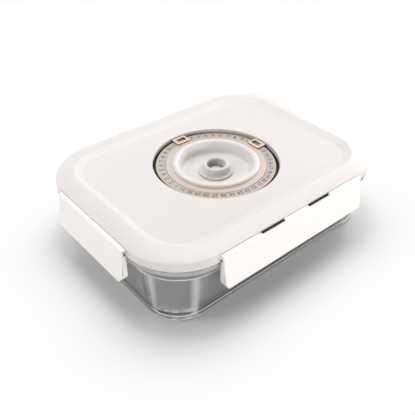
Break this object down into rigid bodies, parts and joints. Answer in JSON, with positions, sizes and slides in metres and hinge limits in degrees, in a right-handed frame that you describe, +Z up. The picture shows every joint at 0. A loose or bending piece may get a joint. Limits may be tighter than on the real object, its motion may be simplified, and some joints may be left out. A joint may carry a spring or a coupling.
{
  "type": "rectangular glass vacuum food container",
  "caption": "Rectangular glass food container with a snap-lock lid, hinged side latches, a sunk date dial and a vacuum valve in a dish at the lid's centre.",
  "frame": {"origin": "centre of the footprint, on the table under the glass", "axes": "+X along the long side, +Y along the short side away from the long front latch, +Z up"},
  "size_m": [0.2426, 0.1856, 0.062],
  "materials": {
    "glass": "clear, polished",
    "lid_plastic": "satin",
    "latch_plastic": "satin",
    "dish_plastic": "satin",
    "button_plastic": "satin",
    "gasket_silicone": "matt",
    "valve_silicone": "matt",
    "ring_metal": "satin",
    "bezel_metal": "satin",
    "window_metal": "polished"
  },
  "bodies": {
    "container": {"glass_body": "glass"},
    "lid": {"lid_shell": "lid_plastic", "lid_gasket": "gasket_silicone", "vacuum_dish": "dish_plastic", "dish_seal": "gasket_silicone", "dish_retainer": "dish_plastic", "bezel_ring": "bezel_metal", "date_window_right": "window_metal", "date_window_back": "window_metal", "valve_collar": "valve_silicone", "valve_seal": "valve_silicone"},
    "front_latch": {"latch_front": "latch_plastic"},
    "back_latch": {"latch_back": "latch_plastic"},
    "left_latch": {"latch_left": "latch_plastic"},
    "right_latch": {"latch_right": "latch_plastic"},
    "date_dial": {"date_ring": "ring_metal"},
    "button": {"valve_button": "button_plastic"}
  },
  "joints": [
    {"name": "lid_lift", "type": "slide", "parent": "container", "child": "lid", "axis": [0, 0, 1], "range_m": [0, 0.1]},
    {"name": "front_latch_hinge", "type": "hinge", "parent": "lid", "child": "front_latch", "pos_m": [0, -0.0864, 0.05795], "axis": [-1, 0, 0], "range_deg": [0, 100]},
    {"name": "back_latch_hinge", "type": "hinge", "parent": "lid", "child": "back_latch", "pos_m": [0, 0.0864, 0.05795], "axis": [1, 0, 0], "range_deg": [0, 100]},
    {"name": "left_latch_hinge", "type": "hinge", "parent": "lid", "child": "left_latch", "pos_m": [-0.1149, 0, 0.05795], "axis": [0, 1, 0], "range_deg": [0, 100]},
    {"name": "right_latch_hinge", "type": "hinge", "parent": "lid", "child": "right_latch", "pos_m": [0.1149, 0, 0.05795], "axis": [0, -1, 0], "range_deg": [0, 100]},
    {"name": "date_ring_turn", "type": "hinge", "parent": "lid", "child": "date_dial", "pos_m": [0, 0, 0.05615], "axis": [0, 0, 1], "continuous": true},
    {"name": "valve_button_press", "type": "slide", "parent": "lid", "child": "button", "axis": [0, 0, -1], "range_m": [0, 0.001], "stiffness_N_per_m": 250}
  ]
}
